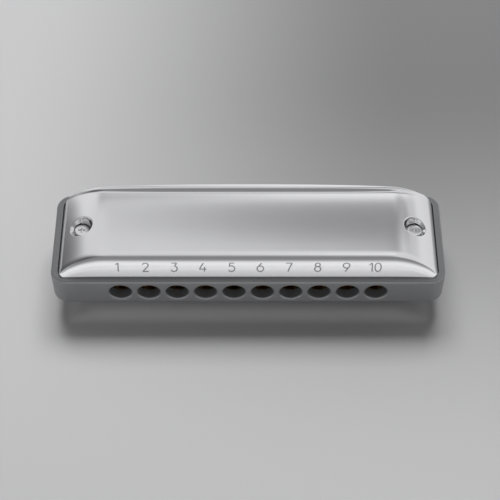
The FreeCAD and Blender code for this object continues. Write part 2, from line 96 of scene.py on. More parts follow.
# The covers' pressing, in millimetres, and its mesh.
CROWN_MIDDLE = 1.4
CROWN_MARGIN = 2.6
CROWN_END_FADE = 0.6
REAR_CROWN, REAR_MARGIN, REAR_MARGIN_POWER = 1.6, 0.9, 6
FRONT_CROWN = 1.5
FRONT_CROWN_END = 0.85
ROLL_DEPTH = 0.34
ROLL_REACH = 3.4
SLOPE_HEIGHT = 5.0
TURN_SHARE, TURN_SPARE = 0.6, 0.2
END_FOOT = 0.9
END_SPREAD = 0.08
END_SPREAD_START = 4.0
END_BEND_TRIES = 40
LIP_CLIMB = 1.75
LIP_DROOP = 0.1
LIP_FADE_POWER = 5.0
FLAT_COLUMNS, END_COLUMNS, CORNER_COLUMNS = 20, 22, 14
SLOPE_ROWS, CREASE_ROWS, TOP_ROWS, LIP_ROWS = 8, 16, 34, 14
ROW_GAP = 0.05
LIP_ROOM = 1.2
WALL_START = 0.3
SHEET_EDGE_ANGLE = 38.0
BEVEL_STEPS = 2
SMOOTH_ANGLE = 30.0

# The screw cups, in millimetres.
CUP_SIDES = 72
CUP_RIM_STEPS, CUP_FILLET_STEPS = 5, 4
CUP_FLOOR_RISE = 1.5
CUP_CORNER = 0.5
CONE_TILT = 0.5
SCREW_HOLE_RADIUS = 1.15
SCREW_HOLE_EDGE = 0.1
CUTTER_HEIGHT = 9.0
WELD_GAP = 0.001

# The holes' numbers: millimetres on the slope, and shares of a number's height.
HOLE_COUNT = 10
HOLE_PITCH = 7.5
NUMBER_SHIFT = -0.57
NUMBER_FOOT = 0.72
NUMBER_PROUD = 0.035
NUMBER_SMOOTH_ANGLE = 50.0
DIGIT_GAP = 0.24
STROKE_STEP = 0.08
STROKE_ROUNDING_STEPS = 2
CLOSED_GAP = 1e-6
ARC_STEPS, OVAL_STEPS = 14, 24

# The screw heads and shanks, in millimetres: the head's face by radius and fall.
SCREW_SIDES = 64
AXIS_RADIUS = 0.03
HEAD_FACE = ((AXIS_RADIUS, 0.0), (0.6, 0.01), (1.2, 0.04))
HEAD_FALL = 0.08
HEAD_EDGE_STEPS = 6
HEAD_CHAMFER = 0.08
SHANK_CHAMFER = 0.15
CROSS_TAPER = (0.5, 0.75)
SCREW_EDGE, SCREW_EDGE_ANGLE = 0.04, 40.0

# The metals' colours and roughness, the finishes' depths in millimetres, and the painted shade on
# the plates' edges and the comb's flats.
PLATE_BRASS = ((0.72, 0.55, 0.27), 0.3)
REED_BRONZE = ((0.74, 0.5, 0.28), 0.28)
RIVET_BRASS = ((0.76, 0.6, 0.3), 0.25)
SCREW_BRASS = ((0.74, 0.58, 0.3), 0.25)
COVER_GRAIN, PLATE_GRAIN, REED_GRAIN = (0.05, 1.0, 1.0), (0.06, 1.0, 1.0), (1.0, 0.06, 1.0)
METAL_DEPTH = 0.001
# Painted shade on the reed plates: past these half sizes in mm the brass fades, over this width,
# to this dark colour, standing for the shade in the gap under the covers' edges.
PLATE_SHADE_REACH = (48.8, 12.0)
PLATE_SHADE_FADE = 0.3
PLATE_SHADE_COLOUR = (0.035, 0.033, 0.032)
# Depth in mm over which the painted shade on the comb's top and underside fades in.
FLAT_SHADE_DEPTH = 0.2
MARKING_ROUGHNESS, MARKING_SPREAD, MARKING_DEPTH = 0.45, 0.15, 0.002


class Wire:
    """A shader socket that takes part in Python sums: each sum adds its Math node."""

    def __init__(self, finish, socket):
        self.finish = finish
        self.socket = socket

    def sum(self, operation, *terms):
        return self.finish.sum(operation, *terms)

    def scaled(self, share):
        """The colour times a share."""
        return self.finish.node("ShaderNodeVectorMath", {"operation": "SCALE"},
                                {"Vector": self, "Scale": share})

    def __add__(self, other):
        return self.sum("ADD", self, other)

    __radd__ = __add__

    def __sub__(self, other):
        return self.sum("SUBTRACT", self, other)

    def __rsub__(self, other):
        return self.sum("SUBTRACT", other, self)

    def __mul__(self, other):
        return self.sum("MULTIPLY", self, other)

    __rmul__ = __mul__

    def __truediv__(self, other):
        return self.sum("DIVIDE", self, other)

    def __abs__(self):
        return self.sum("ABSOLUTE", self)

    def twin(self, name):
        """Another output of the same node."""
        return Wire(self.finish, self.socket.node.outputs[name])

    def eased(self, start, end):
        """0 before start, 1 after end, with a smooth rise between them."""
        settings = {"interpolation_type": "SMOOTHSTEP"}
        values = {"Value": self, "From Min": start, "From Max": end}
        return self.finish.node("ShaderNodeMapRange", settings, values)


class Finish:
    """A node tree to be painted with, and the one way that nodes get into it."""

    def __init__(self, tree):
        self.tree = tree

    def node(self, kind, settings=None, values=None, output=0):
        """Adds a node: settings are its own values, values feed its sockets."""
        made = self.tree.nodes.new(kind)
        for name, value in (settings or {}).items():
            if name == "stops":
                self.set_stops(made.color_ramp, value)
            else:
                setattr(made, name, value)
        for name, value in (values or {}).items():
            self.feed(made.inputs[name], value)
        return Wire(self, made.outputs[output])

    def sum(self, operation, *terms):
        """Adds a Math node for values."""
        return self.node("ShaderNodeMath", {"operation": operation}, dict(enumerate(terms)))

    def feed(self, socket, value):
        if isinstance(value, Wire):
            self.tree.links.new(value.socket, socket)
        else:
            socket.default_value = value

    def set_stops(self, ramp, stops):
        while len(ramp.elements) > 1:
            ramp.elements.remove(ramp.elements[-1])
        for index, (place, grey) in enumerate(stops):
            stop = ramp.elements[0] if index == 0 else ramp.elements.new(place)
            stop.position = place
            stop.color = (grey, grey, grey, 1.0)

    def place(self, scale=(1.0, 1.0, 1.0)):
        """Object coordinates in millimetres, stretched by scale."""
        point = self.node("ShaderNodeTexCoord", output="Object")
        stretched = tuple(s / MM for s in scale)
        return self.node("ShaderNodeMapping", {"vector_type": "POINT"},
                         {"Vector": point, "Scale": stretched})

    def noise(self, scale, detail=3.0, roughness=0.55, stretch=(1.0, 1.0, 1.0)):
        """Noise with about scale grains to a millimetre, from 0 to 1."""
        values = {"Vector": self.place(stretch), "Scale": scale, "Detail": detail,
                  "Roughness": roughness}
        return self.node("ShaderNodeTexNoise", values=values, output="Fac")

    def mix(self, share, low, high):
        """A colour between low and high."""
        made = self.tree.nodes.new("ShaderNodeMix")
        made.data_type = "RGBA"
        self.feed(made.inputs["Factor"], share)
        self.feed(made.inputs[MIX_LOW], low)
        self.feed(made.inputs[MIX_HIGH], high)
        return Wire(self, made.outputs[MIX_COLOUR])

    def mottle(self, cloud, colour, low, high):
        """The colour, which wanders between its shares low and high."""
        return self.mix(cloud, rgb(colour, low), rgb(colour, high))

    def spread(self, value, grain, width):
        """The value, which wanders with the grain over a band of this width."""
        return value * ((1.0 - width / 2) + width * grain)

    def bump(self, height, distance):
        """A normal from a height map, whose full height is distance in millimetres."""
        return self.node("ShaderNodeBump", values={"Height": height, "Distance": distance * MM,
                                                   "Strength": 1.0})

    def coat(self, shader, colour, roughness, normal):
        """Feeds the shader the three values that vary over a piece."""
        self.feed(shader.inputs["Base Color"], colour)
        self.feed(shader.inputs["Roughness"], roughness)
        self.feed(shader.inputs["Normal"], normal)


def rgb(colour, share=1.0):
    return tuple(c * share for c in colour[:3]) + (1.0,)


def new_material(name, constants):
    """A material, its tree and its shader, with the values that stay the same all over."""
    material = bpy.data.materials.new(name)
    material.use_nodes = True
    finish = Finish(material.node_tree)
    shader = material.node_tree.nodes["Principled BSDF"]
    for socket, value in constants.items():
        shader.inputs[socket].default_value = value
    return material, finish, shader


def dress(material, *names):
    """Gives the material to CAD nodes in place of the one they came with."""
    for name in names:
        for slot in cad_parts[name].material_slots:
            slot.material = material


def polished_steel(name, look):
    material, finish, shader = new_material(name, {"Metallic": 1.0})
    cloud = finish.noise(scale=0.08, detail=2.0)
    grain = finish.noise(scale=2.6, detail=4.0, roughness=0.6, stretch=COVER_GRAIN)
    finish.coat(shader, finish.mottle(cloud, look.colour, low=0.97, high=1.03),
                finish.spread(look.roughness, grain, width=0.2),
                finish.bump(grain, look.grain_depth))
    return material


def number_marking(name, look):
    material, finish, shader = new_material(name, {"Metallic": 0.5})
    etched = finish.noise(scale=9.0, detail=2.0)
    finish.coat(shader, finish.mottle(etched, look.number_colour, low=0.9, high=1.1),
                MARKING_ROUGHNESS + MARKING_SPREAD * etched,
                finish.bump(etched, MARKING_DEPTH))
    return material


def anodising_with_flat_shade(name, look):
    """The comb's anodising, with painted shade that darkens its top and underside against its
    front and ends.
    """
    material, finish, shader = new_material(name, {"Metallic": look.metallic})
    cloud = finish.noise(scale=0.12, detail=3.0)
    blasted = finish.noise(scale=7.0, detail=3.0, roughness=0.6)
    low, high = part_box("comb")
    middle, half = (low.z + high.z) / 2 / MM, (high.z - low.z) / 2 / MM
    height = finish.node("ShaderNodeSeparateXYZ", values={"Vector": finish.place()}).twin("Z")
    # Painted shade: near the top and underside the colour is darkened to the flats' share, though
    # the anodising is the same all over.
    flat = abs(height - middle).eased(half - FLAT_SHADE_DEPTH, half)
    painted = finish.mottle(cloud, look.colour, low=0.94, high=1.06)
    finish.coat(shader, painted.scaled(1.0 - (1.0 - look.flat_shade_share) * flat),
                finish.spread(look.roughness, blasted, width=0.16),
                finish.bump(blasted, look.grain_depth))
    return material


def warm_metal(name, colour, roughness, stretch=(1.0, 1.0, 1.0), shade_reach=None):
    """Brass, bronze or nickel; with half sizes in mm given, painted shade darkens it past them,
    for the shaded gap under the covers' edges.
    """
    material, finish, shader = new_material(name, {"Metallic": 1.0})
    cloud = finish.noise(scale=0.25, detail=3.0)
    grain = finish.noise(scale=4.0, detail=4.0, roughness=0.6, stretch=stretch)
    painted = finish.mottle(cloud, colour, low=0.9, high=1.05)
    # Painted shade past the given half sizes.
    if shade_reach:
        spot = finish.node("ShaderNodeSeparateXYZ", values={"Vector": finish.place()})
        past = finish.sum("MAXIMUM", abs(spot) - shade_reach[0], abs(spot.twin("Y")) - shade_reach[1])
        painted = finish.mix(past.eased(0.0, PLATE_SHADE_FADE), painted, rgb(PLATE_SHADE_COLOUR))
    finish.coat(shader, painted, finish.spread(roughness, grain, width=0.3),
                finish.bump(grain, METAL_DEPTH))
    return material


def pick(piece):
    """Leaves this piece as the only one selected, and active."""
    bpy.ops.object.select_all(action="DESELECT")
    piece.select_set(True)
    bpy.context.view_layer.objects.active = piece


def start_editing(piece):
    """Opens one piece in edit mode with nothing in it selected."""
    pick(piece)
    bpy.ops.object.mode_set(mode="EDIT")
    bpy.ops.mesh.select_all(action="DESELECT")


def end_editing():
    """Turns all the faces outward and leaves edit mode."""
    bpy.ops.mesh.select_all(action="SELECT")
    bpy.ops.mesh.normals_make_consistent(inside=False)
    bpy.ops.object.mode_set(mode="OBJECT")


def select_edges(piece, wanted):
    """In edit mode, selects the edges that pass the test."""
    bpy.ops.mesh.select_mode(type="EDGE")
    shape = bmesh.from_edit_mesh(piece.data)
    for edge in shape.edges:
        edge.select = wanted(edge)
    shape.select_flush_mode()
    bmesh.update_edit_mesh(piece.data)


def apply_modifier(piece, kind, **values):
    """Adds a modifier with these values and applies it."""
    modifier = piece.modifiers.new(kind.lower(), kind)
    for name, value in values.items():
        setattr(modifier, name, value)
    bpy.context.view_layer.objects.active = piece
    bpy.ops.object.modifier_apply(modifier=modifier.name)


def bevel(piece, width, degrees):
    """Rounds the edges sharper than this by a width in millimetres."""
    apply_modifier(piece, "BEVEL", width=width * MM, segments=BEVEL_STEPS,
                   limit_method="ANGLE", angle_limit=math.radians(degrees),
                   use_clamp_overlap=True)


def settle(piece, name, material, slot, *nodes):
    """Gives a finished piece its name, finish and body, and hides the nodes that it stands for."""
    piece.name = name
    piece.data.name = name
    pick(piece)
    bpy.ops.object.transform_apply(location=True, rotation=True, scale=True)
    piece.data.materials.clear()
    piece.data.materials.append(material)
    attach(piece, BODY)
    if nodes:
        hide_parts(*nodes)


def smooth(piece, degrees=SMOOTH_ANGLE):
    """Shades the piece smooth but for the edges sharper than this."""
    pick(piece)
    bpy.ops.object.shade_smooth_by_angle(angle=math.radians(degrees))


def turned(centre, profile, sides):
    """A piece turned about an upright axis: each step of the profile is a radius and a height."""
    (radius, height), *rest = profile
    bpy.ops.mesh.primitive_circle_add(vertices=sides, radius=radius * MM, fill_type="NOTHING",
                                      location=(centre[0] * MM, centre[1] * MM, height * MM))
    piece = bpy.context.object
    bpy.ops.object.transform_apply(location=True)
    bpy.ops.object.mode_set(mode="EDIT")
    bpy.ops.mesh.select_all(action="SELECT")
    for next_radius, next_height in rest:
        middle = (centre[0] * MM, centre[1] * MM, height * MM)
        bpy.ops.mesh.extrude_edges_move(
            TRANSFORM_OT_translate={"value": (0.0, 0.0, (next_height - height) * MM)})
        share = next_radius / radius
        bpy.ops.transform.resize(value=(share, share, 1.0), center_override=middle)
        radius, height = next_radius, next_height
    return piece


def close_loop():
    """In edit mode, joins the first and last ring of a turned piece."""
    bpy.ops.mesh.select_all(action="SELECT")
    bpy.ops.mesh.remove_doubles(threshold=WELD_GAP * MM)
    end_editing()


class StageSettings(PropertyGroup):
    floor_colour: FloatVectorProperty(name="Floor", description="Colour of the floor",
                                      default=(0.46, 0.46, 0.466), subtype="COLOR")
    # Painted light and shade on the floor: the far colour darkens it rightwards and backwards, and
    # the near colour pales it well in front, for the fall of the lamps' light.
    floor_far_shade_colour: FloatVectorProperty(name="Far floor",
                                          description="Colour of the floor, far right",
                                          default=(0.142, 0.142, 0.144),
                                          subtype="COLOR")
    floor_near_light_colour: FloatVectorProperty(name="Near floor", subtype="COLOR",
                                           description="Colour of the floor, well in front",
                                           default=(0.95, 0.95, 0.955))
    floor_gloss: FloatProperty(name="Floor blur", description="Blur of the floor's reflections",
                               default=0.28, subtype="FACTOR", min=0.0, max=1.0)
    shade_rightwards: FloatVectorProperty(name="Fade, rightwards", size=2,
                                    description="Where the floor starts and ends to darken, mm",
                                    default=(-80.0, 52.0))
    shade_backwards: FloatVectorProperty(name="Fade, backwards", size=2,
                                   description="Where the floor starts and ends to darken, mm",
                                   default=(-78.0, 75.0))
    light_frontwards: FloatVectorProperty(name="Fade, frontwards", size=2,
                                    description="Where the floor starts and ends to pale, mm",
                                    default=(85.0, 150.0))
    floor_width: FloatProperty(name="Floor width", description="Side of the square floor",
                               default=5.0, unit="LENGTH")
    camera_distance: FloatProperty(name="Camera distance", description="From lens to comb",
                                   default=0.378, unit="LENGTH")
    camera_elevation: FloatProperty(name="Camera elevation", description="Above the horizon",
                                    default=math.radians(54.0), subtype="ANGLE")
    camera_lens: FloatProperty(name="Lens", description="Focal length in millimetres",
                               default=102.3)
    aim: FloatVectorProperty(name="Aim", description="Point that the camera looks at",
                             default=(0.00048, -0.00402, 0.0154), unit="LENGTH")


class CoverSettings(PropertyGroup):
    colour: FloatVectorProperty(name="Steel", description="Colour of the covers",
                                default=(0.78, 0.78, 0.80), subtype="COLOR")
    roughness: FloatProperty(name="Roughness", description="Blur of the covers' reflections",
                             default=0.16, subtype="FACTOR", min=0.0, max=1.0)
    grain_depth: FloatProperty(name="Grain", description="Depth of the polishing lines",
                               default=0.0004)
    sheet: FloatProperty(name="Sheet", description="Thickness of the sheet, mm", default=0.5)
    slope: FloatProperty(name="Front slope", description="Steepness of the front slope",
                         default=math.radians(66.6), subtype="ANGLE")
    slope_bend: FloatProperty(name="Slope bend", description="Steepening towards the foot",
                              default=math.radians(3.2), subtype="ANGLE")
    crease: FloatProperty(name="Crease", description="Height over which the crease turns, mm",
                          default=1.6)
    crown: FloatProperty(name="Crown", description="Rise of the top's middle, mm", default=0.16)
    end_run: FloatProperty(name="End run", description="Length of each falling end, mm",
                           default=11.8)
    end_drop: FloatProperty(name="End drop", description="Fall of each end, mm", default=5.05)
    end_steepest: FloatProperty(name="End foot", description="Steepness of the ends at their foot",
                                default=math.radians(62.0), subtype="ANGLE")
    lip_width: FloatProperty(name="Lip width", description="Depth of the turned lip, mm",
                             default=3.1)
    lip_rise: FloatProperty(name="Lip rise", description="Height of the turned lip, mm",
                            default=0.68)
    lip_short: FloatProperty(name="Lip ease", description="Crest's fall short of the rise, mm",
                             default=0.35)
    lip_reach: FloatProperty(name="Lip reach", description="Half length of the lip, mm",
                             default=46.0)
    rear_bow: FloatProperty(name="Back bow", description="Bow of the back edge, mm", default=1.3)
    front_corner: FloatProperty(name="Front corner", description="Radius in plan, mm",
                                default=1.6)
    front_ahead: FloatProperty(name="Front ahead", description="Front edge nearer the rim, mm",
                               default=0.35)
    rear_corner: FloatProperty(name="Back corner", description="Radius in plan, mm",
                               default=2.4)
    rear_wall: FloatProperty(name="Back wall", description="Length of each back wall, mm",
                             default=3.4)
    edge_rounding: FloatProperty(name="Edge rounding", description="On the sheet's edges, mm",
                                 default=0.1)
    cup_radius: FloatProperty(name="Cup", description="Radius of the screw cups, mm",
                              default=2.95)
    cup_rounding: FloatProperty(name="Cup rim", description="Rounding of the cups' rims, mm",
                                default=0.22)
    cup_taper: FloatProperty(name="Cup taper", description="Narrowing of the cups, mm",
                             default=0.7)
    cup_cone: FloatProperty(name="Cup cone", description="Depth over which the cups narrow, mm",
                            default=1.5)
    cup_fillet: FloatProperty(name="Cup fillet", description="Rounding at the cups' floor, mm",
                              default=0.45)
    number_height: FloatProperty(name="Numbers", description="Height of the numbers, mm",
                                 default=2.75)
    number_stroke: FloatProperty(name="Stroke", description="Width of the strokes, mm",
                                 default=0.34)
    number_colour: FloatVectorProperty(name="Marking", description="Colour of the numbers",
                                       default=(0.37, 0.37, 0.375), subtype="COLOR")


class CombSettings(PropertyGroup):
    colour: FloatVectorProperty(name="Comb", description="Colour of the anodising",
                                default=(0.29, 0.293, 0.3), subtype="COLOR")
    # Painted shade: the share of brightness left on the comb's top and underside.
    flat_shade_share: FloatProperty(name="Flats", description="Brightness of the top and underside",
                              default=0.62, subtype="FACTOR", min=0.0, max=1.0)
    metallic: FloatProperty(name="Metallic", description="Share of bare metal in the gloss",
                            default=0.6, subtype="FACTOR", min=0.0, max=1.0)
    roughness: FloatProperty(name="Roughness", description="Blur of the comb's reflections",
                             default=0.42, subtype="FACTOR", min=0.0, max=1.0)
    grain_depth: FloatProperty(name="Grain", description="Depth of the blasted grain",
                               default=0.004)


class ScrewSettings(PropertyGroup):
    colour: FloatVectorProperty(name="Plating", description="Colour of the screws",
                                default=(0.8, 0.8, 0.81), subtype="COLOR")
    roughness: FloatProperty(name="Roughness", description="Blur of the screws' reflections",
                             default=0.16, subtype="FACTOR", min=0.0, max=1.0)
    head_height: FloatProperty(name="Head", description="Height of the heads, mm", default=1.2)
    head_rounding: FloatProperty(name="Head rounding", description="On the heads' edge, mm",
                                 default=0.3)
    shank_radius: FloatProperty(name="Shank", description="Radius of the shanks, mm",
                                default=1.0)
    cross_length: FloatProperty(name="Cross", description="Length of the recess, mm",
                                default=2.5)
    cross_width: FloatProperty(name="Cross width", description="Width of the recess, mm",
                               default=0.5)
    cross_depth: FloatProperty(name="Cross depth", description="Depth of the recess, mm",
                               default=0.7)


class HARMONICA_OT_stage(Operator):
    """Lays the floor with its painted light and shade, and sets the studio light and the camera.
    """
    bl_idname = "harmonica.stage"
    bl_label = "Stage"

    def execute(self, context):
        look = context.scene.harmonica_stage
        bpy.ops.mesh.primitive_plane_add(size=look.floor_width, location=(0.0, 0.0, 0.0))
        floor = context.object
        floor.name = "studio_floor"
        material, finish, shader = new_material("pale_floor", {"Roughness": look.floor_gloss,
                                                               "Specular IOR Level": 1.0})
        spot = finish.node("ShaderNodeSeparateXYZ", values={"Vector": finish.place()})
        # Painted shade and light: the floor darkens to the right and towards the back, and pales
        # well in front.
        rightwards = spot.eased(*look.shade_rightwards)
        backwards = spot.twin("Y").eased(*look.shade_backwards)
        shade = rightwards * backwards
        colour = finish.mix(shade, rgb(look.floor_colour), rgb(look.floor_far_shade_colour))
        frontwards = (0.0 - spot.twin("Y")).eased(*look.light_frontwards)
        finish.feed(shader.inputs["Base Color"],
                    finish.mix(frontwards, colour, rgb(look.floor_near_light_colour)))
        floor.data.materials.append(material)
        self.light_world(context.scene)
        self.add_lamps(context)
        self.add_camera(context, look)
        return {"FINISHED"}

    def light_world(self, scene):
        """The studio that the polished pieces mirror, dimmer as a light."""
        world = bpy.data.worlds.new("studio")
        scene.world = world
        world.use_nodes = True
        finish = Finish(world.node_tree)
        background = world.node_tree.nodes["Background"]
        toward = finish.node("ShaderNodeTexCoord", output="Generated")
        right = finish.node("ShaderNodeSeparateXYZ", values={"Vector": toward})
        back, up = right.twin("Y"), right.twin("Z")
        height = finish.sum("ARCSINE", up) * (2 / math.pi)
        side = finish.sum("ARCTAN2", right, back) * (1 / math.pi)
        behind = finish.node("ShaderNodeValToRGB", {"stops": BEHIND}, {"Fac": height})
        before = finish.node("ShaderNodeValToRGB", {"stops": BEFORE}, {"Fac": height})
        level = finish.mix(back.eased(-BLEND_DEPTH, BLEND_DEPTH), before, behind)
        for place_side, place_height, wide, below, above, share in PATCHES:
            across = (side - place_side / HALF_TURN) / (wide / HALF_TURN)
            rise = height - place_height / QUARTER_TURN
            along = finish.sum("MAXIMUM", rise / (above / QUARTER_TURN),
                               rise / (-below / QUARTER_TURN))
            near = 1 - (across * across + along * along).eased(0.0, 1.0)
            level = finish.mix(near, level, level.scaled(share))
        finish.feed(background.inputs["Color"], level)
        dull = finish.node("ShaderNodeLightPath", output="Is Diffuse Ray")
        finish.feed(background.inputs["Strength"], 1.0 - (1.0 - DIFFUSE_SHARE) * dull)

    def add_lamps(self, context):
        """Panels of light that face the harmonica, which mirrors none of them."""
        for name, place, size, power in LAMPS:
            bpy.ops.object.light_add(type="AREA", location=place)
            lamp = context.object
            lamp.name = name
            lamp.data.shape = "RECTANGLE"
            lamp.data.size, lamp.data.size_y = size
            lamp.data.energy = power
            lamp.visible_glossy = False
            lamp.rotation_euler = Vector(place).to_track_quat("Z", "Y").to_euler()

    def add_camera(self, context, look):
        aim = Vector(look.aim)
        back = Vector((0.0, -math.cos(look.camera_elevation), math.sin(look.camera_elevation)))
        data = bpy.data.cameras.new("photo_camera")
        data.lens = look.camera_lens
        data.sensor_width = SENSOR_WIDTH
        camera = bpy.data.objects.new("photo_camera", data)
        context.scene.collection.objects.link(camera)
        camera.location = aim + back * look.camera_distance
        camera.rotation_euler = Euler((math.pi / 2 - look.camera_elevation, 0.0, 0.0))
        data.clip_start = CLIP_START
        data.clip_end = CLIP_END
        context.scene.camera = camera
        context.scene.view_settings.view_transform = "Standard"


class HARMONICA_OT_comb(Operator):
    """Gives the comb its blasted and anodised finish, with painted shade on its top and underside.
    """
    bl_idname = "harmonica.comb"
    bl_label = "Comb"

    def execute(self, context):
        dress(anodising_with_flat_shade("comb_anodising_flat_shade", context.scene.harmonica_comb), "comb")
        return {"FINISHED"}


class Pressing:
    """Where the outer skin of the upper cover lies, in millimetres."""

    def __init__(self, look):
        self.look = look
        low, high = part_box("upper_cover")
        self.half = high.x / MM
        self.front = low.y / MM - look.front_ahead
        self.rear = high.y / MM
        self.foot = low.z / MM
        self.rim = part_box("comb")[1].z / MM
        self.top = high.z / MM - look.lip_rise
        self.end_start = self.half - look.end_run
        self.end_bend = self.find_end_bend()
        self.bow_radius = (self.half ** 2 + look.rear_bow ** 2) / (2 * look.rear_bow)
        self.lip_start = self.rear - look.lip_width
        self.steep = math.tan(look.slope)
        self.foot_steep = math.tan(look.slope + look.slope_bend)
        self.slope_bend = 2 * (self.foot_steep - self.steep) * self.steep / SLOPE_HEIGHT

    def past(self, x, y):
        """How far into the falling end, whose run grows towards the front."""
        run = self.look.end_run + END_SPREAD * max(END_SPREAD_START - y, 0.0)
        return max(abs(x) - self.half + run, 0.0) * self.look.end_run / run

    def find_end_bend(self):
        """The tilt at which the end's even arc gives way to its steeper foot."""
        low, high = 0.0, self.look.end_steepest
        for _ in range(END_BEND_TRIES):
            bend = (low + high) / 2
            if self.end_fall(self.look.end_run, bend) < self.look.end_drop:
                low = bend
            else:
                high = bend
        return bend

    def end_fall(self, past, bend):
        """How far the end has fallen: an arc up to the bend, then an ever steeper foot."""
        run = self.look.end_run - END_FOOT
        radius = run / math.sin(bend)
        into = min(past, run)
        fall = radius - math.sqrt(radius ** 2 - into ** 2)
        foot = max(past - run, 0.0)
        first, last = math.tan(bend), math.tan(self.look.end_steepest)
        return fall + foot * first + (last - first) * foot ** 2 / (2 * END_FOOT)

    def level(self, x, y):
        """Height of the top, which falls in an arc at each end."""
        return self.top - self.end_fall(self.past(x, y), self.end_bend)

    def front_edge(self, x):
        """Where the front edge lies, straight but for its round corners."""
        corner = self.look.front_corner
        into = max(abs(x) - self.half + corner, 0.0)
        return self.front + corner - math.sqrt(max(corner ** 2 - into ** 2, 0.0))

    def rear_edge(self, x):
        """Where the back edge lies, bowed and with round corners."""
        corner = self.look.rear_corner
        into = max(abs(x) - self.half + corner, 0.0)
        bowed = self.rear - self.bow_radius + math.sqrt(self.bow_radius ** 2 - x ** 2)
        return bowed - corner + math.sqrt(max(corner ** 2 - into ** 2, 0.0))

    def turn(self, x):
        """Height over which the crease turns, which shrinks as the end comes down."""
        drop = self.level(x, self.front) - self.rim + TURN_SPARE
        return min(self.look.crease, TURN_SHARE * drop)

    def crowned(self, x, y):
        """The top with its slight crown: level in the middle, with turned-down margins."""
        share = (y - CROWN_MIDDLE) / (self.rear - CROWN_MARGIN - CROWN_MIDDLE)
        fade = 1.0 - CROWN_END_FADE * min(self.past(x, y) / self.look.end_run, 1.0)
        if share > 0.0:
            fall = REAR_CROWN * share ** 2 + REAR_MARGIN * share ** REAR_MARGIN_POWER
        else:
            even = min(-share, FRONT_CROWN_END)
            fall = FRONT_CROWN * even * (even + 2.0 * (-share - even))
        return self.level(x, y) + self.look.crown * fade * (1.0 - fall)

    def sloped(self, y):
        """The front slope, a little steeper at its foot."""
        run = y - self.front
        last = self.foot_steep / self.slope_bend
        into = min(run, 0.5 * last)
        rise = self.foot_steep * into - self.slope_bend * into ** 2 / 2
        return self.rim + rise + (run - into) * self.foot_steep / 2

    def height(self, x, y):
        """The skin: slope and top meet in a soft crease, and the lip climbs at the back."""
        slope = self.sloped(y)
        level = self.crowned(x, min(y, self.lip_start + LIP_CLIMB / 2))
        level -= ROLL_DEPTH * max(1.0 - (slope - level) / ROLL_REACH, 0.0) ** 2
        near = max(self.turn(x) - abs(slope - level), 0.0)
        skin = min(slope, level) - near ** 2 / (4 * self.turn(x))
        reach = min(abs(x) / self.look.lip_reach, 1.0)
        share = min(max((y - self.lip_start) / LIP_CLIMB, 0.0), 1.0)
        fade = 1.0 - reach ** LIP_FADE_POWER
        sunk = self.top - self.crowned(0.0, self.lip_start + LIP_CLIMB / 2)
        rise = self.look.lip_rise - self.look.lip_short + sunk
        climb = rise * share ** 3 * (4.0 - 3.0 * share)
        behind = max(y - self.lip_start - LIP_CLIMB, 0.0)
        return skin + (climb - LIP_DROOP * behind ** 2) * fade

    def columns(self):
        """Places along the length, closer where the ends fall and at the corners."""
        corner = self.half - self.look.rear_corner
        half = [self.end_start * k / FLAT_COLUMNS for k in range(FLAT_COLUMNS + 1)]
        half += [self.end_start + (corner - self.end_start) * k / END_COLUMNS
                 for k in range(1, END_COLUMNS + 1)]
        half += [corner + self.look.rear_corner * math.sin(math.pi / 2 * k / CORNER_COLUMNS)
                 for k in range(1, CORNER_COLUMNS + 1)]
        return [-x for x in reversed(half[1:])] + half

    def rows(self, x):
        """Places across the depth, closer where the front crease and the lip turn."""
        front, rear = self.front_edge(x), self.rear_edge(x)
        middle = self.front + (self.level(x, self.front) - self.rim) / self.steep
        turn = self.turn(x) / self.steep
        first = max(middle - turn, front + ROW_GAP)
        last = max(middle + turn, first + ROW_GAP)
        lip = min(self.lip_start, rear - LIP_ROOM)
        stops = ((front, first, SLOPE_ROWS), (first, last, CREASE_ROWS),
                 (last, lip, TOP_ROWS), (lip, rear, LIP_ROWS))
        places = [start + (end - start) * k / count for start, end, count in stops
                  for k in range(count)]
        return places + [rear]


def pressed_sheet(press):
    """The cover's sheet, shaped from a grid, with its edges turned down and its thickness."""
    look = press.look
    columns = press.columns()
    count = len(press.rows(0.0))
    bpy.ops.mesh.primitive_grid_add(x_subdivisions=len(columns) - 1, y_subdivisions=count - 1,
                                    size=1.0)
    piece = bpy.context.object
    places = []
    grid = [[(x, y, press.height(x, y)) for y in press.rows(x)] for x in columns]
    for row in range(count):
        for column in grid:
            places += [value * MM for value in column[row]]
    piece.data.vertices.foreach_set("co", places)
    piece.data.update()
    start_editing(piece)
    wall = (press.half - look.rear_wall) * MM
    middle = 0.5 * (press.front + press.rear) * MM

    def turned_down(edge):
        across = (edge.verts[0].co + edge.verts[1].co) / 2
        back_opening = across.y > middle and abs(across.x) < wall
        return edge.is_boundary and not back_opening

    select_edges(piece, turned_down)
    bpy.ops.mesh.extrude_region_move(
        TRANSFORM_OT_translate={"value": (0.0, 0.0, -WALL_START * MM)})
    bpy.ops.transform.resize(value=(1.0, 1.0, 0.0), center_override=(0.0, 0.0, press.foot * MM))
    end_editing()
    apply_modifier(piece, "SOLIDIFY", thickness=look.sheet * MM, offset=-1.0,
                   use_even_offset=True, use_rim=True)
    bevel(piece, look.edge_rounding, SHEET_EDGE_ANGLE)
    return piece


def quarter(steps):
    """The angles of a quarter turn in even steps."""
    return [math.pi / 2 * k / steps for k in range(steps + 1)]


